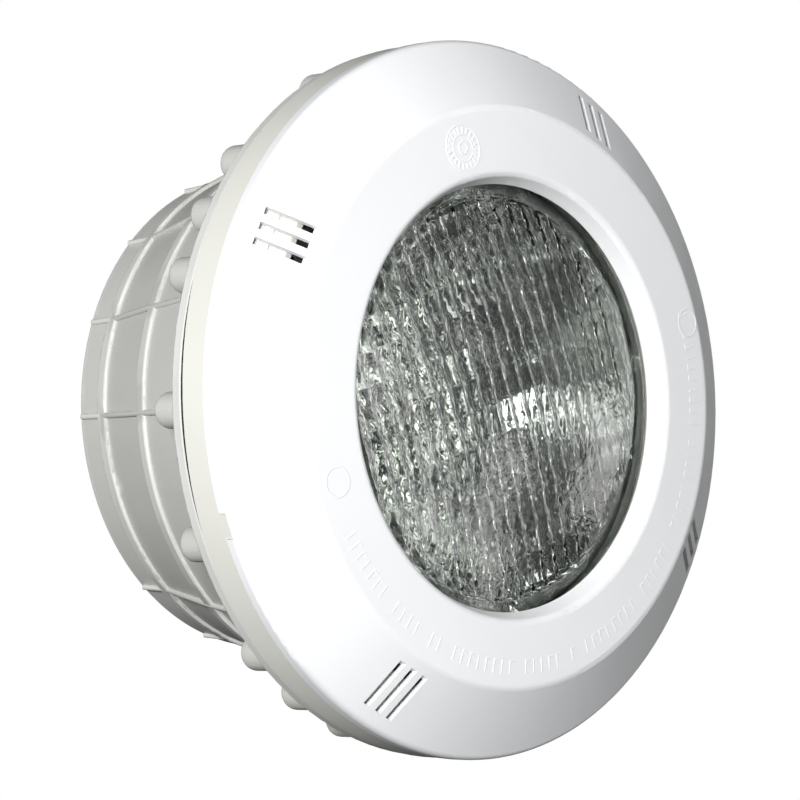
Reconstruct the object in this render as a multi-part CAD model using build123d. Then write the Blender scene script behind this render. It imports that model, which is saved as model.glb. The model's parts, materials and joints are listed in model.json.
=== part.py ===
from build123d import *
import os
from math import sqrt

# Underwater pool light: a sealed-beam lamp unit that sits in a ribbed wall niche.
# Millimetres. +Z is up, the light shines along -Y, and the niche goes back along +Y.
# The origin is the centre of the back face of the niche flange, which meets the wall.
# "Forward" is the distance in front of that face, so forward = -Y.
# Angles are seen from the front, from +X towards +Z.

# Driving dimensions
FACE_RADIUS = 140.0            # outside of the faceplate
FACE_SLOPE = 0.675             # rise of the sloping rim per millimetre of radius
CREASE_RADIUS = 112.2          # where the slope meets the flat ring
WINDOW_RADIUS = 82.9           # clear opening of the faceplate
FACE_WALL = 2.5                # wall of the faceplate
RIM_FORWARD = 24.0             # where the rim starts to slope
SEAM_FORWARD = 18.3            # joint line between faceplate and carrier ring
NICHE_DEPTH = 102.5            # wall face to the back of the cup
NICHE_WALL = 3.5
NICHE_TURN = -4.0              # the niche sits a little turned from the light's upright
FLANGE_RADIUS = 139.0
FLANGE_THICK = 5.0
FLANGE_BORE = 115.0            # mouth of the niche
BOSS_CIRCLE = 131.0            # radius of the screw circle
WALL_HOLE_CIRCLE = 124.0       # radius of the four wall screws
BOSS_RADIUS = 7.0
BOSS_LENGTH = 13.4
BOSS_COUNT = 16
GASKET_THICK = 1.4
CLAMP_THICK = 5.0
CLAMP_RADIUS = 135.8
LAMP_RADIUS = 88.5             # sealed-beam lamp, 178 mm over the rim with its seam
LAMP_TIP = 41.5                # front of the lens
SLEEVE_RADIUS = 94.5           # outside of the sleeve that holds the lamp
SLEEVE_BORE = 91.5
HOUSING_BACK = -87.0           # back of the rear housing
PORT_RADIUS = 74.0             # conduit port, distance from the optical axis
PORT_ANGLE = -45.0
LAMP_GLAND_FORWARD = -50.0     # cable gland on the underside of the rear housing
FIXING_CIRCLE = 108.5          # radius of the four fixing screws
POST_CIRCLE = 104.0            # radius of the faceplate's push-in posts

QUARTERS = (0, 90, 180, 270)
DIAGONALS = (45, 135, 225, 315)

# Forward positions that follow from the stack on the flange
REAR_GASKET_TOP = FLANGE_THICK + GASKET_THICK
FRONT_GASKET_TOP = REAR_GASKET_TOP + GASKET_THICK
CLAMP_TOP = FRONT_GASKET_TOP + CLAMP_THICK
WEB_REAR = CLAMP_TOP + 0.4
WEB_FRONT = WEB_REAR + 2.8


def turned(*corners):
    """A solid of revolution from corners (radius, forward, rounding)."""
    points = [(corner[0], -corner[1]) for corner in corners]
    rounding = [corner[2] if len(corner) > 2 else 0 for corner in corners]
    outline = FilletPolyline(*points, radius=rounding, close=True)
    return revolve(make_face(outline), Axis.Y)


def around(shape, angle, radius=0.0):
    """A shape modelled on the +X side, moved out and turned about the optical axis."""
    return Rot(0, -angle, 0) * Pos(radius, 0, 0) * shape


def rod(radius, rear, front):
    """A cylinder on the optical axis between two forward positions."""
    middle = (rear + front) / 2
    return Pos(0, -middle, 0) * Rot(90, 0, 0) * Cylinder(radius, front - rear)


def tube(outside, inside, rear, front):
    """A straight ring on the optical axis."""
    return turned((inside, rear), (outside, rear), (outside, front), (inside, front))


def block(radial, tangential, rear, front):
    """A box on the optical axis, radial along X and tangential along Z."""
    middle = (rear + front) / 2
    return Pos(0, -middle, 0) * Box(radial, front - rear, tangential)


def hexagon(across_flats, rear, front):
    """A six-sided bar on the optical axis."""
    outline = RegularPolygon(across_flats / 2, 6, major_radius=False)
    return Pos(0, -rear, 0) * Rot(90, 0, 0) * extrude(outline, front - rear)


def group(shapes):
    """Separate identical solids kept together."""
    solids = [solid for shape in shapes for solid in shape.solids()]
    return Compound(solids)


def boss_angles():
    """Sixteen evenly spaced bosses and four more on the diagonals."""
    step = 360 / BOSS_COUNT
    even = [NICHE_TURN + step * (number + 0.5) for number in range(BOSS_COUNT)]
    return even + [NICHE_TURN + angle for angle in DIAGONALS]


def face_forward(radius):
    """Forward position of the faceplate's sloping surface at a radius."""
    return RIM_FORWARD + FACE_SLOPE * (FACE_RADIUS - radius)


# ---------------------------------------------------------------- niche

CUP_OUTSIDE = ((118.0, 0.0), (106.0, -55.0), (97.6, -87.0), (96.6, -NICHE_DEPTH))
RING_RIBS = (-54.0, -86.5)     # forward places of the two low bands round the cup
BAND_WIDTH = 6.2
BAND_HEIGHT = 1.4
RIB_RADIUS = 1.15
PORT_HUB_RADIUS = 18.0
PORT_HUB_END = -118.5
PORT_THREAD_RADIUS = 12.05     # G 3/4 female thread, at its minor diameter
GLAND_HOLE_RADIUS = 10.0       # M20 thread
INSERT_RADIUS = 3.7
INSERT_LENGTH = 9.0
WALL_HOLE_RADIUS = 2.75


def lengthwise_rib():
    """One rounded rib that follows the outside of the cup, on the +X side."""
    points = [(radius + 0.5, -forward) for radius, forward in CUP_OUTSIDE[1:-1]]
    last = (CUP_OUTSIDE[-1][0] + 0.5, NICHE_DEPTH - 2.2)
    path = FilletPolyline((118.0, -1.0), *points, last, radius=[40, 10])
    return sweep(Plane(origin=path @ 0, z_dir=path % 0) * Circle(RIB_RADIUS), path)


def cup_radius(forward):
    """Outside radius of the cup at a forward position."""
    for (wide, front), (narrow, rear) in zip(CUP_OUTSIDE, CUP_OUTSIDE[1:]):
        if rear <= forward <= front:
            return wide + (narrow - wide) * (forward - front) / (rear - front)


def band(forward):
    """A low flat band round the cup with rounded edges."""
    front = forward + BAND_WIDTH / 2
    rear = forward - BAND_WIDTH / 2
    return turned((cup_radius(front) - 2, front), (cup_radius(front) + BAND_HEIGHT, front, 1.2),
                  (cup_radius(rear) + BAND_HEIGHT, rear, 1.2), (cup_radius(rear) - 2, rear))


def screw_boss():
    """A round-ended boss behind the flange, on the +X side."""
    return around(turned((0, -BOSS_LENGTH), (BOSS_RADIUS, -BOSS_LENGTH, 4.5),
                         (BOSS_RADIUS, 0.5), (0, 0.5)), 0, BOSS_CIRCLE)


def wall_hole():
    """A countersunk screw hole through the flange, on the optical axis."""
    return turned((0, -1.0), (WALL_HOLE_RADIUS, -1.0), (WALL_HOLE_RADIUS, 2.4),
                  (WALL_HOLE_RADIUS + 2.6, FLANGE_THICK), (WALL_HOLE_RADIUS + 2.6, 6.0), (0, 6.0))


def niche_body():
    inside = NICHE_WALL
    mouth, upper, lower, back = [radius for radius, forward in CUP_OUTSIDE]
    cup = turned((0, -NICHE_DEPTH), (back, -NICHE_DEPTH, 1.8), (lower, -87.0),
                 (upper, -55.0), (mouth, 0.0, 2.0), (FLANGE_RADIUS, 0.0, 1.0),
                 (FLANGE_RADIUS, FLANGE_THICK, 0.8), (FLANGE_BORE, FLANGE_THICK, 1.0),
                 (mouth - inside, 0.0), (upper - inside, -55.0), (lower - inside, -87.0),
                 (back - inside, 4.0 - NICHE_DEPTH, 3.0), (0, 4.0 - NICHE_DEPTH))
    added = [band(forward) for forward in RING_RIBS]
    step = 360 / BOSS_COUNT
    rib = lengthwise_rib()
    added += [around(rib, NICHE_TURN + step * (number + 0.5)) for number in range(BOSS_COUNT)]
    boss = screw_boss()
    added += [around(boss, angle) for angle in boss_angles()]
    hub = turned((0, PORT_HUB_END), (PORT_HUB_RADIUS, PORT_HUB_END, 1.5),
                 (PORT_HUB_RADIUS, -100.0), (0, -100.0))
    added.append(around(hub, PORT_ANGLE, PORT_RADIUS))
    body = cup
    for piece in added:
        body = body.fuse(piece)
    cuts = [around(rod(INSERT_RADIUS, FLANGE_THICK - INSERT_LENGTH, FLANGE_THICK), angle, BOSS_CIRCLE)
            for angle in boss_angles()]
    cuts += [around(rod(2.7, -12.5, 0.0), angle, BOSS_CIRCLE) for angle in boss_angles()]
    cuts += [around(wall_hole(), NICHE_TURN + angle, WALL_HOLE_CIRCLE) for angle in QUARTERS]
    cuts.append(around(rod(PORT_THREAD_RADIUS, PORT_HUB_END - 1, -103.5), PORT_ANGLE, PORT_RADIUS))
    cuts.append(around(rod(GLAND_HOLE_RADIUS, -104.5, -92.5), PORT_ANGLE, PORT_RADIUS))
    return body.cut(*cuts)


def threaded_insert(front):
    """A brass insert with its M5 bore, flush with a forward face."""
    rear = front - INSERT_LENGTH
    body = tube(INSERT_RADIUS, 2.5, rear, front)
    grooves = [tube(INSERT_RADIUS + 1, INSERT_RADIUS - 0.4, front - depth - 0.8, front - depth)
               for depth in (2.6, 5.6)]
    return body.cut(*grooves)


def niche_inserts():
    insert = threaded_insert(FLANGE_THICK)
    return group(around(insert, angle, BOSS_CIRCLE) for angle in boss_angles())


def flat_gasket(outside, rear):
    gasket = tube(outside, FLANGE_BORE + 2, rear, rear + GASKET_THICK)
    holes = [around(rod(2.9, rear - 1, rear + 3), angle, BOSS_CIRCLE) for angle in boss_angles()]
    return gasket.cut(*holes)


def liner_gasket_rear():
    return flat_gasket(FLANGE_RADIUS - 0.4, FLANGE_THICK)


def liner_gasket_front():
    return flat_gasket(CLAMP_RADIUS - 0.6, REAR_GASKET_TOP)


LUG_INSIDE = 102.5
SCREW_HEAD_RADIUS = 4.6


def clamp_ring():
    ring = turned((118.0, FRONT_GASKET_TOP), (CLAMP_RADIUS, FRONT_GASKET_TOP),
                  (CLAMP_RADIUS, CLAMP_TOP, 0.8), (118.0, CLAMP_TOP, 0.8))
    lug = block(17.5, 16.0, FRONT_GASKET_TOP, CLAMP_TOP)
    lug = fillet(lug.edges().filter_by(Axis.Y).group_by(Axis.X)[0], 5)
    middle = LUG_INSIDE + 17.5 / 2
    ring = ring.fuse(*[around(lug, angle, middle) for angle in DIAGONALS])
    cuts = []
    for angle in boss_angles():
        seat = turned((0, FRONT_GASKET_TOP - 1), (2.8, FRONT_GASKET_TOP - 1), (2.8, CLAMP_TOP - 2.2),
                      (SCREW_HEAD_RADIUS + 0.2, CLAMP_TOP), (0, CLAMP_TOP))
        cuts.append(around(seat, angle, BOSS_CIRCLE))
    for angle in DIAGONALS:
        cuts.append(around(rod(INSERT_RADIUS, FRONT_GASKET_TOP - 5, CLAMP_TOP + 1), angle, FIXING_CIRCLE))
    return ring.cut(*cuts)


def cross_recess(front, depth):
    return block(5.0, 1.2, front - depth, front + 1) + block(1.2, 5.0, front - depth, front + 1)


def clamp_screws():
    screw = turned((0, -8.0), (1.8, -8.0), (2.3, -6.5), (2.3, CLAMP_TOP - 2.3),
                   (SCREW_HEAD_RADIUS, CLAMP_TOP - 0.1), (0, CLAMP_TOP - 0.1))
    screw = screw - cross_recess(CLAMP_TOP, 1.6)
    return group(around(screw, angle, BOSS_CIRCLE) for angle in boss_angles())


def lug_inserts():
    insert = tube(INSERT_RADIUS, 2.5, FRONT_GASKET_TOP, CLAMP_TOP)
    return group(around(insert, angle, FIXING_CIRCLE) for angle in DIAGONALS)


# ---------------------------------------------------------------- cable glands
# A gland is modelled on the optical axis, seated at forward zero and pointing forward.

GLAND_FLATS = 24.0
GLAND_COLLAR = 5.0
GLAND_WASHER = 1.5
GLAND_THREAD = 8.5             # radius of the thread that carries the dome nut
GLAND_BORE = 5.2


def gland_body(spigot):
    """Hollow body: a spigot into the wall, a six-sided collar and the nut's thread."""
    collar = hexagon(GLAND_FLATS, GLAND_WASHER, GLAND_WASHER + GLAND_COLLAR)
    top = GLAND_WASHER + GLAND_COLLAR
    spindle = turned((0, -spigot), (GLAND_HOLE_RADIUS - 0.1, -spigot),
                     (GLAND_HOLE_RADIUS - 0.1, top - 1), (GLAND_THREAD, top - 1),
                     (GLAND_THREAD, top + 6.0), (0, top + 6.0))
    return (collar + spindle) - rod(GLAND_BORE, -spigot - 1, top + 8)


def gland_washer():
    return tube(13.0, GLAND_HOLE_RADIUS, 0.0, GLAND_WASHER)


def gland_seal():
    """Tapered rubber bush squeezed by the nut."""
    base = GLAND_WASHER + GLAND_COLLAR + 6.2
    return turned((3.6, base), (8.0, base), (8.0, base + 1.2), (7.0, base + 2.8), (3.6, base + 2.8))


def gland_nut():
    """Dome nut with six flats and a rounded crown."""
    base = GLAND_WASHER + GLAND_COLLAR + 0.3
    dome = turned((0, base), (13.6, base), (13.6, base + 7.0), (8.5, base + 12.0, 2.0), (0, base + 12.0))
    flats = hexagon(GLAND_FLATS, base, base + 13)
    hollow = turned((0, base - 1), (9.0, base - 1), (9.0, base + 8.6), (7.9, base + 10.2), (0, base + 10.2))
    return ((dome & flats) - hollow) - rod(5.6, base, base + 14)


def at_conduit_port(shape):
    """Onto the inside of the niche's back, pointing forward."""
    return around(Pos(0, NICHE_DEPTH - 4.0, 0) * shape, PORT_ANGLE, PORT_RADIUS)


def at_housing(shape):
    """Onto the flat pad under the rear housing, pointing straight down."""
    return Pos(0, -LAMP_GLAND_FORWARD, -HOUSING_PAD) * Rot(90, 0, 0) * shape


# ---------------------------------------------------------------- carrier ring

TAB_ANGLE = 183.0              # alignment tab that fits a notch in the faceplate
TAB_WIDTH = 9.8
TAB_HEIGHT = 3.8
HOUSING_SCREW_CIRCLE = 97.6
PLATE_STEP = 127.5             # small step in the sloping plate
PLATE_EDGE = 121.2             # inner edge of the sloping plate
SOCKET_TOP = 27.0
LIP_REAR = 5.4                 # rear edge of the thin lip that hides the gasket
PRISING_ANGLE = 164.0          # shallow gap in the lip, to lever the light out


def housing_screw_angles():
    return [22.5 + 45 * number for number in range(8)]


def plate_forward(radius):
    """Top of the carrier's sloping plate, just under the faceplate."""
    return face_forward(radius) - 4.0


def prising_gap():
    """A wedge that thins the lip over an arc, deepest in the middle, on the +X side."""
    corners = [(124.8, -4.9), (142.0, -4.9), (142.0, -7.28), (124.8, -LIP_REAR)]
    return extrude(make_face(Polyline(*corners, close=True)), 70, both=True)


def carrier_ring():
    skirt = FACE_RADIUS - 0.5
    step = PLATE_STEP
    edge = PLATE_EDGE
    ring = turned((87.0, 33.0), (87.0, 35.0), (SLEEVE_RADIUS, 35.0, 0.8), (SLEEVE_RADIUS, WEB_FRONT),
                  (edge - 2.6, WEB_FRONT), (edge - 2.6, plate_forward(edge) - 0.8),
                  (edge, plate_forward(edge) - 0.8), (step, plate_forward(step) - 0.8),
                  (step, plate_forward(step)), (137.0, plate_forward(137.0)), (137.0, SEAM_FORWARD - 0.1),
                  (skirt, SEAM_FORWARD - 0.1, 0.3), (skirt, LIP_REAR, 0.2), (138.9, LIP_REAR),
                  (138.9, 7.0), (136.6, 7.0),
                  (136.6, plate_forward(136.6) - 3.2), (edge, plate_forward(edge) - 4.0),
                  (edge, WEB_REAR), (SLEEVE_RADIUS, WEB_REAR), (SLEEVE_RADIUS, 2.0), (101.0, 2.0),
                  (101.0, -2.0), (SLEEVE_BORE, -2.0), (SLEEVE_BORE, 33.0))
    tab = tube(skirt, 136.8, SEAM_FORWARD - 0.2, SEAM_FORWARD + TAB_HEIGHT)
    tab = tab & around(block(20, TAB_WIDTH, SEAM_FORWARD - 2, SEAM_FORWARD + 6), TAB_ANGLE, FACE_RADIUS)
    sockets = [around(rod(6.0, WEB_REAR, SOCKET_TOP), angle, POST_CIRCLE) for angle in QUARTERS]
    body = ring.fuse(tab, *sockets)
    cuts = [around(rod(4.3, WEB_FRONT, SOCKET_TOP + 1), angle, POST_CIRCLE) for angle in QUARTERS]
    cuts += [around(rod(2.9, WEB_REAR - 1, WEB_FRONT + 1), angle, FIXING_CIRCLE) for angle in DIAGONALS]
    cuts += [around(rod(1.7, -3.0, 3.0), angle, HOUSING_SCREW_CIRCLE) for angle in housing_screw_angles()]
    cuts.append(around(prising_gap(), PRISING_ANGLE))
    return body.cut(*cuts)


# ---------------------------------------------------------------- faceplate

SLOT_LENGTH = 17.8
SLOT_WIDTH = 3.2
SLOT_PITCH = 6.4
SLOT_CIRCLE = 125.4


def push_in_post():
    """A split post that the carrier's socket grips."""
    post = turned((0, 19.5), (2.6, 19.5), (4.0, 21.5), (4.0, 41.2), (0, 41.2))
    return post - block(9.0, 1.2, 19.0, 34.0)


def faceplate():
    drop = FACE_WALL * sqrt(1 + FACE_SLOPE ** 2)
    inner_rim = FACE_RADIUS - 2.6
    top = face_forward(CREASE_RADIUS)
    shell = turned((FACE_RADIUS, SEAM_FORWARD, 0.4), (FACE_RADIUS, RIM_FORWARD, 4.0),
                   (CREASE_RADIUS, top, 5.0), (86.2, top + 1.75, 3.0), (WINDOW_RADIUS, 37.2),
                   (85.3, 35.8), (88.4, 42.0), (111.0, face_forward(111.0) - drop),
                   (inner_rim, face_forward(inner_rim) - drop), (inner_rim, SEAM_FORWARD))
    body = shell.fuse(*[around(push_in_post(), angle, POST_CIRCLE) for angle in QUARTERS])
    cuts = []
    for angle in DIAGONALS:
        for offset in (-SLOT_PITCH, 0.0, SLOT_PITCH):
            slot = Pos(0, 0, offset) * block(SLOT_LENGTH, SLOT_WIDTH, 22.0, 46.0)
            cuts.append(around(slot, angle, SLOT_CIRCLE))
    notch = tube(FACE_RADIUS + 1, 136.0, SEAM_FORWARD - 1, SEAM_FORWARD + TAB_HEIGHT + 0.2)
    clear = block(20, TAB_WIDTH + 0.4, SEAM_FORWARD - 2, SEAM_FORWARD + 6)
    notch = notch & around(clear, TAB_ANGLE, FACE_RADIUS)
    return body.cut(notch, *cuts)


# ---------------------------------------------------------------- fixing screws

def fixing_screw():
    """Pan-head screw through the carrier into the clamp ring's lug, on the +X side."""
    screw = turned((0, 1.0), (1.7, 1.0), (2.2, 2.2), (2.2, WEB_FRONT + 0.1), (4.7, WEB_FRONT + 0.1),
                   (4.7, WEB_FRONT + 2.2, 1.2), (0, WEB_FRONT + 3.4))
    screw = screw - cross_recess(WEB_FRONT + 3.4, 1.8)
    return screw


def screw_keepers():
    keeper = tube(4.2, 2.5, CLAMP_TOP + 0.1, WEB_REAR)
    return group(around(keeper, angle, FIXING_CIRCLE) for angle in DIAGONALS)


# ---------------------------------------------------------------- sealed-beam lamp

REFLECTOR_FOCAL = 120.0        # four times the focal length of the paraboloid
REFLECTOR_APEX = -39.4
LENS_SPHERE = 449.0            # radius of the lens's dome
LENS_THICK = 4.1
LAMP_BACK = -46.0
NECK_FORWARD = -34.0           # where the paraboloid runs into the neck
TERMINAL_LENGTH = 14.0
LEAD_SPREAD = 8.0


def dish_radius(forward):
    return sqrt(REFLECTOR_FOCAL * (forward - REFLECTOR_APEX))


def ball(tip):
    """The sphere that a lens surface follows, with its front at a forward position."""
    return Pos(0, LENS_SPHERE - tip, 0) * Sphere(LENS_SPHERE)


def lamp_lens():
    """Slightly domed glass with a flat fused rim."""
    blank = turned((0, 26.4), (LAMP_RADIUS, 26.4), (LAMP_RADIUS, 31.3), (86.0, 31.3), (84.6, 34.5),
                   (84.6, 45.0), (0, 45.0))
    hollow = rod(84.2, 20.0, 45.0) & ball(LAMP_TIP - LENS_THICK)
    return (blank & ball(LAMP_TIP)) - hollow


def lamp_reflector():
    """Paraboloid glass shell with a straight neck."""
    outer = [(dish_radius(forward), -forward) for forward in (22.8, -5.0, -22.0, NECK_FORWARD)]
    inner = [(dish_radius(forward) - 3.0, -forward) for forward in (-38.6, -30.0, -12.0, 8.0, 26.2)]
    neck = dish_radius(NECK_FORWARD)
    outline = [
        Polyline((inner[-1][0], -26.2), (LAMP_RADIUS, -26.2), (LAMP_RADIUS, -23.8), outer[0]),
        Spline(*outer),
        Polyline(outer[-1], (neck, -LAMP_BACK), (0, -LAMP_BACK), (0, 38.6), inner[0]),
        Spline(*inner),
    ]
    body = revolve(make_face(outline), Axis.Y)
    holes = [Pos(side * LEAD_SPREAD, 0, 0) * rod(1.0, LAMP_BACK - 1, -25.0) for side in (-1, 1)]
    return body.cut(*holes)


FOCUS_FORWARD = REFLECTOR_APEX + REFLECTOR_FOCAL / 4


def lamp_filament():
    """Coiled filament between the two leads, along X."""
    half = LEAD_SPREAD - 1.0
    turns = 14
    pitch = 2 * half / turns
    corners = [(0, -half)]
    for number in range(turns):
        low = -half + number * pitch
        corners += [(0.9, low), (1.6, low + pitch / 2)]
    corners += [(0.9, half), (0, half)]
    coil = turned(*corners)
    return Pos(0, -FOCUS_FORWARD, 0) * Rot(0, 0, 90) * coil


def filament_leads():
    lead = rod(1.0, LAMP_BACK, FOCUS_FORWARD + 1.5)
    return group(Pos(side * LEAD_SPREAD, 0, 0) * lead for side in (-1, 1))


def lamp_terminals():
    terminal = block(7.0, 11.0, LAMP_BACK - TERMINAL_LENGTH, LAMP_BACK)
    terminal = terminal - rod(1.6, LAMP_BACK - TERMINAL_LENGTH - 1, LAMP_BACK + 1)
    return group(Pos(side * 12.0, 0, 0) * terminal for side in (-1, 1))


def terminal_screws():
    seat = LAMP_BACK - TERMINAL_LENGTH
    screw = turned((0, seat + 8.0), (1.5, seat + 8.0), (1.5, seat - 0.1),
                   (3.2, seat - 0.1), (3.2, seat - 2.2, 0.6), (0, seat - 2.2))
    screw = screw - block(7.0, 0.9, seat - 3.0, seat - 1.2)
    return group(Pos(side * 12.0, 0, 0) * screw for side in (-1, 1))


def lamp_gasket():
    """Rubber ring that wraps the lamp's rim and seals it to the carrier's lip."""
    return turned((86.3, 31.5), (88.7, 31.5), (88.7, 23.0), (91.3, 23.0), (91.3, 32.9), (86.3, 32.9))


# ---------------------------------------------------------------- rear housing

HOUSING_PAD = 78.5
HOUSING_WALL = 3.0


def rear_housing():
    shell = turned((88.0, 22.6), (91.2, 22.6), (91.2, 9.2), (89.2, 9.2), (89.2, 6.4), (91.2, 6.4),
                   (91.2, -2.2), (101.0, -2.2, 0.5), (101.0, -6.0, 0.8), (92.0, -6.0), (90.0, -14.0),
                   (53.0, -80.0, 6.0), (46.0, HOUSING_BACK, 3.0), (0, HOUSING_BACK),
                   (0, HOUSING_BACK + HOUSING_WALL), (44.0, HOUSING_BACK + HOUSING_WALL, 3.0),
                   (50.0, -79.0, 5.0), (86.6, -13.0), (88.0, -5.0))
    pad = Pos(0, -LAMP_GLAND_FORWARD, -(HOUSING_PAD + 62) / 2) * Cylinder(14.0, HOUSING_PAD - 62)
    body = shell.fuse(pad)
    bore = Pos(0, -LAMP_GLAND_FORWARD, -HOUSING_PAD) * Cylinder(GLAND_HOLE_RADIUS, 50)
    holes = [around(rod(2.1, -7.0, -1.0), angle, HOUSING_SCREW_CIRCLE) for angle in housing_screw_angles()]
    return body.cut(bore, *holes)


def housing_o_ring():
    section = Pos(90.35, -7.8) * Circle(1.1)
    return revolve(section, Axis.Y)


def housing_screws():
    screw = turned((0, 1.6), (1.6, 1.6), (1.6, -6.1), (3.2, -6.1), (3.2, -8.2, 0.8), (0, -8.2))
    screw = screw - block(7.0, 0.9, -9.0, -7.2)
    return group(around(screw, angle, HOUSING_SCREW_CIRCLE) for angle in housing_screw_angles())


# ---------------------------------------------------------------- output

def write(name, shape):
    export_step(shape, f"parts/{name}.step")


os.makedirs("parts", exist_ok=True)
write("niche_body", niche_body())
write("niche_inserts", niche_inserts())
write("liner_gasket_rear", liner_gasket_rear())
write("liner_gasket_front", liner_gasket_front())
write("clamp_ring", clamp_ring())
write("clamp_screws", clamp_screws())
write("lug_inserts", lug_inserts())
write("conduit_gland_body", at_conduit_port(gland_body(4.8)))
write("conduit_gland_washer", at_conduit_port(gland_washer()))
write("conduit_gland_seal", at_conduit_port(gland_seal()))
write("conduit_gland_nut", at_conduit_port(gland_nut()))
write("carrier_ring", carrier_ring())
write("faceplate", faceplate())
for number, angle in enumerate(DIAGONALS, start=1):
    write(f"fixing_screw_{number}", around(fixing_screw(), angle, FIXING_CIRCLE))
write("screw_keepers", screw_keepers())
write("lamp_lens", lamp_lens())
write("lamp_reflector", lamp_reflector())
write("lamp_filament", lamp_filament())
write("filament_leads", filament_leads())
write("lamp_terminals", lamp_terminals())
write("terminal_screws", terminal_screws())
write("lamp_gasket", lamp_gasket())
write("rear_housing", rear_housing())
write("housing_o_ring", housing_o_ring())
write("housing_screws", housing_screws())
write("lamp_gland_body", at_housing(gland_body(8.0)))
write("lamp_gland_washer", at_housing(gland_washer()))
write("lamp_gland_seal", at_housing(gland_seal()))
write("lamp_gland_nut", at_housing(gland_nut()))
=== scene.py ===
import json
import random
from math import atan2, cos, floor, pi, radians, sin, sqrt

import bmesh
import bpy
from mathutils import Matrix, Vector


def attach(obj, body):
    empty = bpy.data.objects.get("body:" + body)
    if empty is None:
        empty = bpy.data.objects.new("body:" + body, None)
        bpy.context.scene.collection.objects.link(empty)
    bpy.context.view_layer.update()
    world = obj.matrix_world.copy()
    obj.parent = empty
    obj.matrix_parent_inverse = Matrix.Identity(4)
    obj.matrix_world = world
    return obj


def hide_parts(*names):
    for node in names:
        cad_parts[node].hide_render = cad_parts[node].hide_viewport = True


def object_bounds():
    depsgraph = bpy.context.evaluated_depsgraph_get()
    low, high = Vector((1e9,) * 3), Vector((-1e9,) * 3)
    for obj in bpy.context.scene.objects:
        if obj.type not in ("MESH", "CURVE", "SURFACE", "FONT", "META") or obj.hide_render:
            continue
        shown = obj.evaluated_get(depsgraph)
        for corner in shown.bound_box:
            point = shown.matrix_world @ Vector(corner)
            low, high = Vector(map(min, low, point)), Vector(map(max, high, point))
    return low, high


# Underwater pool light in its wall niche. Metres, in the CAD frame: +Z is up, the light shines along -Y,
# and "forward" is the distance in front of the niche's wall face, so forward = -Y.
# Angles about the optical axis are seen from the front, from +X towards +Z.

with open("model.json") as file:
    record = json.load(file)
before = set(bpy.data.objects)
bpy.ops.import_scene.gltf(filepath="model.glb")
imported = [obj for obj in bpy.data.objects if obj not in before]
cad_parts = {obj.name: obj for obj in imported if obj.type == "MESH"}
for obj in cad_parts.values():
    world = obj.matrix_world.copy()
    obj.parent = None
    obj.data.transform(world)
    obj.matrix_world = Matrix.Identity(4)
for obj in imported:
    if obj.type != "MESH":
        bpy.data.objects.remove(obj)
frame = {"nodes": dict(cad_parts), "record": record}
cad_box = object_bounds()
nodes = frame["nodes"]

MM = 0.001


def spot(radius, angle, forward):
    """A point in the frame from its radius and forward place in millimetres and its angle in degrees."""
    turn = radians(angle)
    return Vector((radius * cos(turn), -forward, radius * sin(turn))) * MM


# ---------------------------------------------------------------- camera

CAMERA_AIM = Vector((-21.1, -2.1, 6.8)) * MM
CAMERA_AZIMUTH = radians(-43.85)
CAMERA_ELEVATION = radians(9.99)
CAMERA_ROLL = radians(-13.38)
CAMERA_DISTANCE = 1.5704
CAMERA_LENS = 181.6
CAMERA_SENSOR = 36.0


def make_camera():
    """The camera, and its right, up and back directions in the frame."""
    flat = cos(CAMERA_ELEVATION)
    back = Vector((sin(CAMERA_AZIMUTH) * flat, -cos(CAMERA_AZIMUTH) * flat, sin(CAMERA_ELEVATION)))
    level_right = (-back).cross(Vector((0, 0, 1))).normalized()
    level_up = level_right.cross(-back)
    right = level_right * cos(CAMERA_ROLL) + level_up * sin(CAMERA_ROLL)
    up = back.cross(right)
    data = bpy.data.cameras.new("camera")
    data.lens = CAMERA_LENS
    data.sensor_width = CAMERA_SENSOR
    data.clip_start = 0.05
    data.clip_end = 50.0
    camera = bpy.data.objects.new("camera", data)
    turn = Matrix((right, up, back)).transposed().to_4x4()
    camera.matrix_world = Matrix.Translation(CAMERA_AIM + back * CAMERA_DISTANCE) @ turn
    bpy.context.scene.collection.objects.link(camera)
    bpy.context.scene.camera = camera
    return right, up, back


view_right, view_up, view_back = make_camera()
bpy.context.scene.view_settings.view_transform = "Standard"


# ---------------------------------------------------------------- material helpers

PLASTIC_IOR = 1.49
GLASS_IOR = 1.47
EDGE_POINTINESS = 0.52         # where an edge gets the full painted highlight; 0.5 is flat


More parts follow.
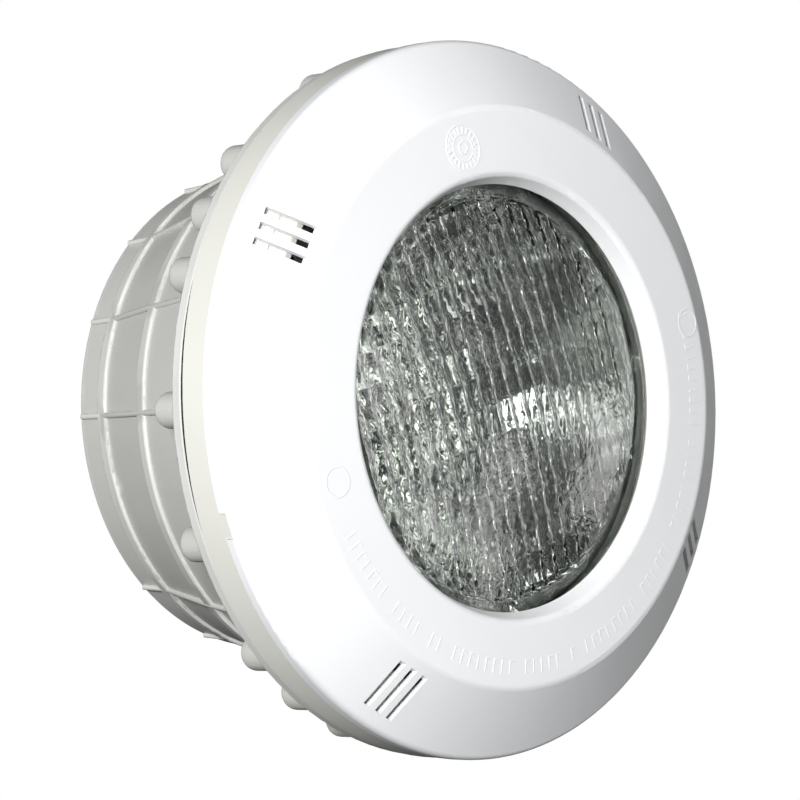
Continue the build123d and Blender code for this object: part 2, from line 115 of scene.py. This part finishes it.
class Recipe:
    """A material made of nodes around one Principled shader."""

    def __init__(self, name):
        self.material = bpy.data.materials.new(name)
        self.material.use_nodes = True
        self.tree = self.material.node_tree
        self.shader = self.tree.nodes["Principled BSDF"]
        self.place = self.add("ShaderNodeTexCoord").outputs["Object"]

    def add(self, kind, **settings):
        node = self.tree.nodes.new(kind)
        for key, value in settings.items():
            setattr(node, key, value)
        return node

    def join(self, source, target):
        self.tree.links.new(source, target)

    def constant(self, **sockets):
        for key, value in sockets.items():
            self.shader.inputs[key.replace("_", " ")].default_value = value

    def noise(self, scale, detail=3.0, rough=0.55, stretch=(1, 1, 1)):
        """Noise with its scale per metre, stretched along the object's axes."""
        mapping = self.add("ShaderNodeMapping")
        mapping.inputs["Scale"].default_value = stretch
        self.join(self.place, mapping.inputs["Vector"])
        node = self.add("ShaderNodeTexNoise")
        node.inputs["Scale"].default_value = scale
        node.inputs["Detail"].default_value = detail
        node.inputs["Roughness"].default_value = rough
        self.join(mapping.outputs["Vector"], node.inputs["Vector"])
        return node.outputs["Fac"]

    def remap(self, value, low, high, start=0.3, stop=0.7):
        """A value's stretch from start to stop, turned into low to high."""
        node = self.add("ShaderNodeMapRange")
        node.inputs["From Min"].default_value = start
        node.inputs["From Max"].default_value = stop
        node.inputs["To Min"].default_value = low
        node.inputs["To Max"].default_value = high
        self.join(value, node.inputs["Value"])
        return node.outputs["Result"]

    def blend(self, factor, first, second):
        node = self.add("ShaderNodeMix", data_type="RGBA")
        self.join(factor, node.inputs["Factor"])
        for socket, value in ((node.inputs["A"], first), (node.inputs["B"], second)):
            if isinstance(value, (tuple, list)):
                socket.default_value = (*value, 1.0)
            else:
                self.join(value, socket)
        return node.outputs["Result"]

    def colour(self, value):
        self.join(value, self.shader.inputs["Base Color"])

    def roughness(self, value):
        self.join(value, self.shader.inputs["Roughness"])

    def bump(self, value, height):
        """Relief of a height in metres, on top of any relief already there."""
        node = self.add("ShaderNodeBump")
        node.inputs["Strength"].default_value = 1.0
        node.inputs["Distance"].default_value = height
        self.join(value, node.inputs["Height"])
        if self.shader.inputs["Normal"].links:
            self.join(self.shader.inputs["Normal"].links[0].from_socket, node.inputs["Normal"])
        self.join(node.outputs["Normal"], self.shader.inputs["Normal"])

    def edges(self):
        """High where the surface is convex: the mask for the painted highlight along edges."""
        geometry = self.add("ShaderNodeNewGeometry")
        return self.remap(geometry.outputs["Pointiness"], 0.0, 1.0, 0.5, EDGE_POINTINESS)


def plastic(name, light, dark, gloss, grain=0.00002, edge=None):
    """Moulded plastic: soft flow marks, a fine skin and a painted highlight along convex edges."""
    made = Recipe(name)
    flow = made.noise(9.0, 4.0, 0.6, (1.0, 0.5, 1.6))
    cloud = made.noise(38.0, 2.0)
    tone = made.blend(made.remap(flow, 0.0, 1.0), light, dark)
    tone = made.blend(made.remap(cloud, 0.0, 0.35), tone, dark)
    # convex edges painted in the lighter edge colour: a painted highlight
    if edge:
        tone = made.blend(made.edges(), tone, edge)
    made.colour(tone)
    made.roughness(made.remap(made.noise(60.0), gloss[0], gloss[1]))
    made.bump(made.noise(900.0, 2.0), grain)
    made.bump(made.noise(24.0, 2.0), grain * 3)
    made.constant(IOR=PLASTIC_IOR)
    return made.material


def rubber(name, base, dust):
    """Matt rubber with a little dust in it."""
    made = Recipe(name)
    made.colour(made.blend(made.remap(made.noise(120.0, 5.0), 0.0, 1.0, 0.45, 0.75), base, dust))
    made.roughness(made.remap(made.noise(300.0), 0.55, 0.8))
    made.bump(made.noise(1400.0, 3.0), 0.00004)
    return made.material


def metal(name, bright, dull, gloss, stretch=(1, 1, 1)):
    """Metal with fine tool marks that run along the stretch."""
    made = Recipe(name)
    lay = made.noise(700.0, 3.0, 0.6, stretch)
    made.colour(made.blend(made.remap(made.noise(90.0, 4.0), 0.0, 1.0), bright, dull))
    made.roughness(made.remap(lay, gloss[0], gloss[1]))
    made.bump(lay, 0.00001)
    made.constant(Metallic=1.0)
    return made.material


def lens_glass():
    """Pressed glass: faintly green, with the shallow waves that pressing leaves."""
    made = Recipe("lens_glass")
    made.colour(made.blend(made.remap(made.noise(18.0), 0.0, 1.0), (0.97, 0.985, 0.97), (0.93, 0.965, 0.94)))
    made.roughness(made.remap(made.noise(240.0, 3.0), 0.0, 0.03, 0.4, 0.9))
    made.bump(made.noise(330.0, 2.0), 0.00012)
    made.constant(IOR=GLASS_IOR, Transmission_Weight=1.0)
    return made.material


def mirror_glass():
    """Aluminised glass, slightly hazy and uneven."""
    made = Recipe("mirror_glass")
    haze = made.noise(70.0, 5.0, 0.65)
    made.colour(made.blend(made.remap(haze, 0.0, 1.0), (0.90, 0.91, 0.89), (0.76, 0.78, 0.75)))
    made.roughness(made.remap(haze, 0.01, 0.06))
    made.bump(made.noise(60.0, 3.0), 0.0001)
    made.constant(Metallic=1.0)
    return made.material


# Each edge colour is a painted highlight, lighter than its plastic, laid on convex edges.
PLASTICS = {
    "niche_plastic": {"light": (0.54, 0.54, 0.515), "dark": (0.49, 0.49, 0.465), "gloss": (0.36, 0.5),
                      "grain": 0.00003, "edge": (0.62, 0.62, 0.60)},
    "cream_plastic": {"light": (0.72, 0.72, 0.675), "dark": (0.68, 0.68, 0.63), "gloss": (0.34, 0.46)},
    "white_plastic": {"light": (0.84, 0.85, 0.86), "dark": (0.81, 0.82, 0.84), "gloss": (0.30, 0.40)},
    "clamp_plastic": {"light": (0.80, 0.80, 0.77), "dark": (0.74, 0.74, 0.71), "gloss": (0.36, 0.5)},
    "housing_plastic": {"light": (0.035, 0.036, 0.038), "dark": (0.022, 0.022, 0.024), "gloss": (0.34, 0.5),
                        "grain": 0.00004, "edge": (0.07, 0.07, 0.07)},
    "gland_plastic": {"light": (0.045, 0.045, 0.047), "dark": (0.028, 0.028, 0.03), "gloss": (0.36, 0.55),
                      "grain": 0.00004, "edge": (0.08, 0.08, 0.08)},
}
RUBBERS = {
    "rubber_black": ((0.012, 0.012, 0.012), (0.045, 0.044, 0.042)),
    "silicone": ((0.30, 0.30, 0.29), (0.42, 0.42, 0.40)),
}
METALS = {
    "stainless": ((0.68, 0.68, 0.67), (0.52, 0.52, 0.51), (0.18, 0.34), (1, 6, 1)),
    "brass": ((0.72, 0.52, 0.22), (0.55, 0.38, 0.15), (0.22, 0.4), (1, 6, 1)),
    "tungsten": ((0.36, 0.36, 0.38), (0.22, 0.22, 0.24), (0.3, 0.5)),
}

MATERIALS = {name: plastic(name, **look) for name, look in PLASTICS.items()}
MATERIALS.update({name: rubber(name, *look) for name, look in RUBBERS.items()})
MATERIALS.update({name: metal(name, *look) for name, look in METALS.items()})
MATERIALS["lens_glass"] = lens_glass()
MATERIALS["reflector_glass"] = mirror_glass()


def finish_with(thing, slot):
    thing.data.materials.clear()
    thing.data.materials.append(MATERIALS[slot])


for part in frame["record"]["subparts"]:
    finish_with(nodes[part["node"]], part["material_slot"])


# ---------------------------------------------------------------- mesh helpers

def new_piece(name, mesh, body, slot):
    """A new object that moves with one of the frame's bodies."""
    thing = bpy.data.objects.new(name, mesh)
    bpy.context.scene.collection.objects.link(thing)
    finish_with(thing, slot)
    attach(thing, body)
    return thing


def mesh_of(name, points, faces, smooth=True):
    """A mesh from points in metres, with its faces turned outwards."""
    mesh = bpy.data.meshes.new(name)
    mesh.from_pydata([tuple(point) for point in points], [], faces)
    made = bmesh.new()
    made.from_mesh(mesh)
    bmesh.ops.recalc_face_normals(made, faces=made.faces)
    made.to_mesh(mesh)
    made.free()
    for face in mesh.polygons:
        face.use_smooth = smooth
    mesh.update()
    return mesh


def wire_mesh(name, path, radius, sides):
    """A round wire along a path of points in millimetres."""
    points = []
    faces = []
    for index, centre in enumerate(path):
        ahead = path[min(index + 1, len(path) - 1)] - path[max(index - 1, 0)]
        first = ahead.cross(Vector((0.3, 0.2, 1))).normalized()
        second = ahead.cross(first).normalized()
        for side in range(sides):
            turn = 2 * pi * side / sides
            points.append((centre + (first * cos(turn) + second * sin(turn)) * radius) * MM)
    for index in range(len(path) - 1):
        for side in range(sides):
            following = (side + 1) % sides
            faces.append((index * sides + side, index * sides + following,
                          (index + 1) * sides + following, (index + 1) * sides + side))
    last = (len(path) - 1) * sides
    faces.append(tuple(range(sides)))
    faces.append(tuple(range(last, last + sides)))
    return mesh_of(name, points, faces)


# ---------------------------------------------------------------- lens

# All in millimetres.

LENS_SPHERE = 449.0            # the dome's radius
LENS_TIP = 41.5                # forward place of the middle of the front
LENS_THICK = 3.0
LENS_SKIRT = 86.0              # where the dome meets the flat rim
LENS_RIM = 88.4
LENS_RIM_REAR = 26.5
LENS_RIM_FRONT = 31.2
PATTERN_RADIUS = 78.5          # the flutes end here and leave a clear band
FLUTE_PITCH = 7.35
FLUTE_DEPTH = 1.4
ROW_PITCH = 12.4
ROW_DEPTH = 0.9
RIPPLE_PITCH = 2.6             # fine ripple of the pressed glass
RIPPLE_DEPTH = 0.07
LENS_TURN = radians(1.0)       # the pattern's turn about the optical axis
PATTERN_FADE = 1.5             # width over which the pattern sinks into the clear band
FLUTE_LEAN = 0.14              # largest chance tilt of one cell across the flutes
ROW_NOD = 0.2                  # and along them
RIM_CHAMFER = 0.3
COARSE_CELLS = 76              # squares along each side of the smooth front's grid
FINE_SPLIT = 5                 # and how many times finer the patterned back is


def dome(x, z, tip):
    """Forward place of a sphere with its front at tip."""
    return tip - LENS_SPHERE + sqrt(LENS_SPHERE ** 2 - x * x - z * z)


def pillow(x, z, tilts):
    """How far the moulded pattern stands behind the lens's smooth back, in millimetres."""
    along = x * cos(LENS_TURN) + z * sin(LENS_TURN)
    up = z * cos(LENS_TURN) - x * sin(LENS_TURN)
    column = along / FLUTE_PITCH
    row = up / ROW_PITCH
    cell = (floor(column), floor(row))
    across = (column - cell[0]) * 2 - 1
    upward = (row - cell[1]) * 2 - 1
    lean, nod, phase = tilts[cell]
    height = FLUTE_DEPTH * (1 - across * across) + ROW_DEPTH * (1 - upward * upward)
    height += lean * across + nod * upward
    wave = sin(2 * pi * along / RIPPLE_PITCH + phase)
    cross_wave = cos(2 * pi * up / RIPPLE_PITCH / 2 + phase)
    height += RIPPLE_DEPTH * wave * cross_wave
    edge = min(1.0, max(0.0, (PATTERN_RADIUS - sqrt(x * x + z * z)) / PATTERN_FADE))
    return height * edge * edge * (3 - 2 * edge)


def disc_point(column, row, cells):
    """A square grid laid onto a disc, so that its border follows the circle."""
    across = 2 * column / cells - 1
    up = 2 * row / cells - 1
    return (LENS_SKIRT * across * sqrt(1 - up * up / 2), LENS_SKIRT * up * sqrt(1 - across * across / 2))


def disc_grid(cells, start):
    """The grid's squares and its border, as indices that begin at start."""
    count = cells + 1
    squares = []
    for row in range(cells):
        for column in range(cells):
            first = start + row * count + column
            squares.append((first, first + 1, first + count + 1, first + count))
    border = [column for column in range(cells)]
    border += [row * count + cells for row in range(cells)]
    border += [cells * count + cells - column for column in range(cells)]
    border += [(cells - row) * count for row in range(cells)]
    return squares, [start + index for index in border]


def lens_mesh():
    """The lens: a smooth front, a patterned back and a flat rim between them."""
    chance = random.Random(7)
    half = int(LENS_RIM / min(FLUTE_PITCH, ROW_PITCH)) + 2
    tilts = {}
    for column in range(-half, half):
        for row in range(-half, half):
            lean = chance.uniform(-FLUTE_LEAN, FLUTE_LEAN)
            nod = chance.uniform(-ROW_NOD, ROW_NOD)
            tilts[column, row] = (lean, nod, chance.uniform(0, 6.3))
    points = []
    faces = []
    borders = []
    for tip, cells in ((LENS_TIP, COARSE_CELLS), (LENS_TIP - LENS_THICK, COARSE_CELLS * FINE_SPLIT)):
        squares, border = disc_grid(cells, len(points))
        faces += squares
        borders.append(border)
        for row in range(cells + 1):
            for column in range(cells + 1):
                x, z = disc_point(column, row, cells)
                raised = pillow(x, z, tilts) if cells > COARSE_CELLS else 0.0
                points.append(Vector((x, raised - dome(x, z, tip), z)) * MM)
    front, back = borders
    rings = [front]
    for radius, forward in ((LENS_SKIRT + 0.15, LENS_RIM_FRONT), (LENS_RIM - RIM_CHAMFER, LENS_RIM_FRONT),
                            (LENS_RIM, LENS_RIM_FRONT - RIM_CHAMFER), (LENS_RIM, LENS_RIM_REAR + RIM_CHAMFER),
                            (LENS_RIM - RIM_CHAMFER, LENS_RIM_REAR), (LENS_SKIRT - 0.9, LENS_RIM_REAR)):
        start = len(points)
        for index in front:
            turn = atan2(points[index].z, points[index].x)
            points.append(Vector((radius * cos(turn), -forward, radius * sin(turn))) * MM)
        rings.append(list(range(start, start + len(front))))
    for first, second in zip(rings, rings[1:]):
        for index in range(len(front)):
            following = (index + 1) % len(front)
            faces.append((first[index], first[following], second[following], second[index]))
    last = rings[-1]
    for index in range(len(last)):
        strip = [back[(index * FINE_SPLIT + step) % len(back)] for step in range(FINE_SPLIT + 1)]
        for step in range(FINE_SPLIT):
            faces.append((last[index], strip[step + 1], strip[step]))
        faces.append((last[index], last[(index + 1) % len(last)], strip[-1]))
    return mesh_of("lens_fluted", points, faces)


lens = new_piece("lens_fluted", lens_mesh(), "lamp_unit", "lens_glass")
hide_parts("lamp_lens")


# ---------------------------------------------------------------- filament

FOCUS_FORWARD = -9.4
COIL_HALF = 7.2
COIL_RADIUS = 1.25
COIL_TURNS = 16
WIRE_RADIUS = 0.16
WIRE_SIDES = 7
STEPS_PER_TURN = 14
TAIL = 0.8                     # straight wire at each end of the coil


def coil_mesh():
    """A wire coil along X, with a straight tail at each end."""
    steps = COIL_TURNS * STEPS_PER_TURN
    path = [Vector((-COIL_HALF - TAIL, -FOCUS_FORWARD, 0))]
    for step in range(steps + 1):
        turn = 2 * pi * COIL_TURNS * step / steps
        along = -COIL_HALF + 2 * COIL_HALF * step / steps
        path.append(Vector((along, COIL_RADIUS * sin(turn) - FOCUS_FORWARD, COIL_RADIUS * cos(turn))))
    path.append(Vector((COIL_HALF + TAIL, -FOCUS_FORWARD, 0)))
    return wire_mesh("filament_coil", path, WIRE_RADIUS, WIRE_SIDES)


coil = new_piece("filament_coil", coil_mesh(), "lamp_unit", "tungsten")
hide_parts("lamp_filament")


# ---------------------------------------------------------------- raised marks on the faceplate

FLAT_OUTSIDE = 112.2           # radius where the flat ring meets the sloping rim
FLAT_FORWARD = 42.765          # the flat ring's forward place there
FLAT_SLOPE = 1.75 / 26.0       # its slight rise towards the lamp
MARK_SINK = 0.25               # how far the marks reach into the plastic
FACE_FRONT = -cad_box[0][1] / MM - 0.02      # no mark stands in front of the faceplate's own front edge


def mark_point(x, z, level):
    """A point at a level above the flat ring, in metres, from x and z in millimetres."""
    surface = FLAT_FORWARD + FLAT_SLOPE * (FLAT_OUTSIDE - sqrt(x * x + z * z))
    return Vector((x, -min(surface + level, FACE_FRONT), z)) * MM


def add_bar(points, faces, centre, direction, length, width, height):
    """A raised bar on the flat ring with a narrower top, direction in degrees in the XZ plane."""
    turn = radians(direction)
    along = Vector((cos(turn), 0, sin(turn)))
    across = Vector((-sin(turn), 0, cos(turn)))
    start = len(points)
    for level, shrink in ((-MARK_SINK, 0.0), (height * 0.6, 0.0), (height, 0.18)):
        for side, end in ((-1, -1), (1, -1), (1, 1), (-1, 1)):
            place = centre + along * end * (length / 2 - shrink) + across * side * (width / 2 - shrink)
            points.append(mark_point(place.x, place.z, level))
    for ring in (0, 4):
        for corner in range(4):
            following = (corner + 1) % 4
            faces.append((start + ring + corner, start + ring + following,
                          start + ring + 4 + following, start + ring + 4 + corner))
    faces.append((start, start + 1, start + 2, start + 3))
    faces.append((start + 8, start + 9, start + 10, start + 11))


def add_ring(points, faces, centre, radius, width, height, steps=72):
    """A raised ring on the flat ring, centred on a point (x, 0, z) in millimetres."""
    start = len(points)
    section = ((-width / 2, -MARK_SINK), (-width / 2, height * 0.5), (-width / 4, height),
               (width / 4, height), (width / 2, height * 0.5), (width / 2, -MARK_SINK))
    for step in range(steps):
        turn = 2 * pi * step / steps
        for offset, level in section:
            x = centre.x + (radius + offset) * cos(turn)
            z = centre.z + (radius + offset) * sin(turn)
            points.append(mark_point(x, z, level))
    size = len(section)
    for step in range(steps):
        following = (step + 1) % steps
        for corner in range(size):
            beside = (corner + 1) % size
            faces.append((start + step * size + corner, start + step * size + beside,
                          start + following * size + beside, start + following * size + corner))


EMBLEM_RADIUS = 98.6           # where the emblem sits on the flat ring
EMBLEM_ANGLE = 88.7
EMBLEM_RAYS = 20
RING_HEIGHT = 0.22
RAY_HEIGHT = 0.3


def emblem_mesh():
    """A plain sun: two rings with rays between them and a small ring inside."""
    points, faces = [], []
    centre = spot(EMBLEM_RADIUS, EMBLEM_ANGLE, 0) / MM
    add_ring(points, faces, centre, 8.9, 0.5, RING_HEIGHT)
    add_ring(points, faces, centre, 5.3, 0.5, RING_HEIGHT)
    add_ring(points, faces, centre, 2.2, 0.6, RAY_HEIGHT, 40)
    for number in range(EMBLEM_RAYS):
        direction = EMBLEM_ANGLE + 360 * number / EMBLEM_RAYS
        out = Vector((cos(radians(direction)), 0, sin(radians(direction))))
        add_bar(points, faces, centre + out * 7.1, direction, 2.0, 0.75, RAY_HEIGHT)
    return mesh_of("face_emblem", points, faces, False)


DASH_RADIUS = 104.0
DASH_START = 193.0             # the row of marks runs round the bottom, in degrees
DASH_END = 364.0               # and no mark is placed past here
DASH_STEP = 2.45
DASH_LENGTH = 5.6
DASH_RAISED = 0.16             # how far the marks stand out of the plastic
GROUP_SIZES = (7, 4, 2, 8, 5, 1, 8, 6, 9, 9, 8)


def dash_mesh():
    """Plain marks in groups, each along a radius, and most with a short foot."""
    points, faces = [], []
    angle = DASH_START
    for number, size in enumerate(GROUP_SIZES):
        for mark in range(size):
            if angle < DASH_END:
                centre = spot(DASH_RADIUS, angle, 0) / MM
                add_bar(points, faces, centre, angle, DASH_LENGTH, 0.75, DASH_RAISED)
                if (mark + number) % 3:
                    beside = spot(DASH_RADIUS - DASH_LENGTH / 2 + 0.35, angle + 0.6, 0) / MM
                    add_bar(points, faces, beside, angle + 90, 1.9, 0.7, DASH_RAISED)
            angle += DASH_STEP
        angle += DASH_STEP
    return mesh_of("face_marks", points, faces, False)


def sink_mesh():
    """Faint rings where the posts behind the flat ring show through."""
    points, faces = [], []
    for radius, angle in ((101.5, 181.5), (106.0, 0.0)):
        add_ring(points, faces, spot(radius, angle, 0) / MM, 5.6, 0.9, 0.07)
    return mesh_of("face_sink_rings", points, faces)


for name, mesh in (("face_emblem", emblem_mesh()), ("face_marks", dash_mesh()),
                   ("face_sink_rings", sink_mesh())):
    new_piece(name, mesh, "faceplate", "white_plastic")


# ---------------------------------------------------------------- light

ROOM_BRIGHT = Vector((0.62, -0.78, 0.05))    # where the reflector finds the bright side of the room
ROOM_SPREAD = (0.35, 0.85)     # cosines at which that side begins and reaches full strength
ROOM_PATCHES = 8.0             # scale of the patches that break it up
PATCH_RANGE = (0.565, 0.60)    # noise values where a patch begins and is full
ROOM_DARK = (0.012, 0.0125, 0.013, 1)
ROOM_LIGHT = (1.0, 1.0, 0.98, 1)
ROOM_STRENGTH = 3.4
SOFTBOX_DISTANCE = 1.6


def only_camera_sees(tree, seen, otherwise):
    """Mixes two shaders: one for what the camera looks at straight, one for light and reflections."""
    path = tree.nodes.new("ShaderNodeLightPath")
    mix = tree.nodes.new("ShaderNodeMixShader")
    tree.links.new(path.outputs["Is Camera Ray"], mix.inputs["Fac"])
    tree.links.new(otherwise, mix.inputs[1])
    tree.links.new(seen, mix.inputs[2])
    return mix.outputs["Shader"]


def ranged(tree, value, low, high):
    """A value stretched so that low becomes 0 and high becomes 1."""
    node = tree.nodes.new("ShaderNodeMapRange")
    node.inputs["From Min"].default_value = low
    node.inputs["From Max"].default_value = high
    tree.links.new(value, node.inputs["Value"])
    return node.outputs["Result"]


def make_world():
    """White to the camera; a dark room with a patchy bright side to everything else."""
    world = bpy.data.worlds.new("studio")
    world.use_nodes = True
    tree = world.node_tree
    tree.nodes.clear()
    white = tree.nodes.new("ShaderNodeBackground")
    white.inputs["Color"].default_value = (1, 1, 1, 1)
    white.inputs["Strength"].default_value = 1.0
    place = tree.nodes.new("ShaderNodeTexCoord").outputs["Generated"]
    toward = tree.nodes.new("ShaderNodeVectorMath")
    toward.operation = "DOT_PRODUCT"
    tree.links.new(place, toward.inputs[0])
    toward.inputs[1].default_value = ROOM_BRIGHT.normalized()
    side = ranged(tree, toward.outputs["Value"], *ROOM_SPREAD)
    noise = tree.nodes.new("ShaderNodeTexNoise")
    noise.inputs["Scale"].default_value = ROOM_PATCHES
    tree.links.new(place, noise.inputs["Vector"])
    patches = ranged(tree, noise.outputs["Fac"], *PATCH_RANGE)
    bright = tree.nodes.new("ShaderNodeMath")
    bright.operation = "MULTIPLY"
    tree.links.new(side, bright.inputs[0])
    tree.links.new(patches, bright.inputs[1])
    ramp = tree.nodes.new("ShaderNodeValToRGB")
    ramp.color_ramp.elements[0].color = ROOM_DARK
    ramp.color_ramp.elements[1].color = ROOM_LIGHT
    tree.links.new(bright.outputs["Value"], ramp.inputs["Fac"])
    room = tree.nodes.new("ShaderNodeBackground")
    tree.links.new(ramp.outputs["Color"], room.inputs["Color"])
    room.inputs["Strength"].default_value = ROOM_STRENGTH
    output = tree.nodes.new("ShaderNodeOutputWorld")
    tree.links.new(only_camera_sees(tree, white.outputs[0], room.outputs[0]), output.inputs["Surface"])
    bpy.context.scene.world = world


def softbox(name, right, up, back, size, power):
    """A round light, placed from the camera's own directions and aimed at the frame's origin."""
    data = bpy.data.lights.new(name, "AREA")
    data.shape = "DISK"
    data.size = size
    data.energy = power
    thing = bpy.data.objects.new(name, data)
    away = (view_right * right + view_up * up + view_back * back).normalized()
    thing.location = away * SOFTBOX_DISTANCE
    thing.rotation_mode = "QUATERNION"
    thing.rotation_quaternion = away.to_track_quat("Z", "Y")
    bpy.context.scene.collection.objects.link(thing)


KEY_SIZE = 0.35
KEY_POWER = 31.0
SPARKLE_SIZE = 0.1
SPARKLE_POWER = 1.6

make_world()
softbox("key", -0.24, 0.14, 1.0, KEY_SIZE, KEY_POWER)
for name, right, up, back in (("sparkle_left", -0.75, 0.15, 0.8), ("sparkle_top", -0.15, 0.8, 0.8),
                              ("sparkle_low", -0.3, -0.5, 1.0)):
    softbox(name, right, up, back, SPARKLE_SIZE, SPARKLE_POWER)
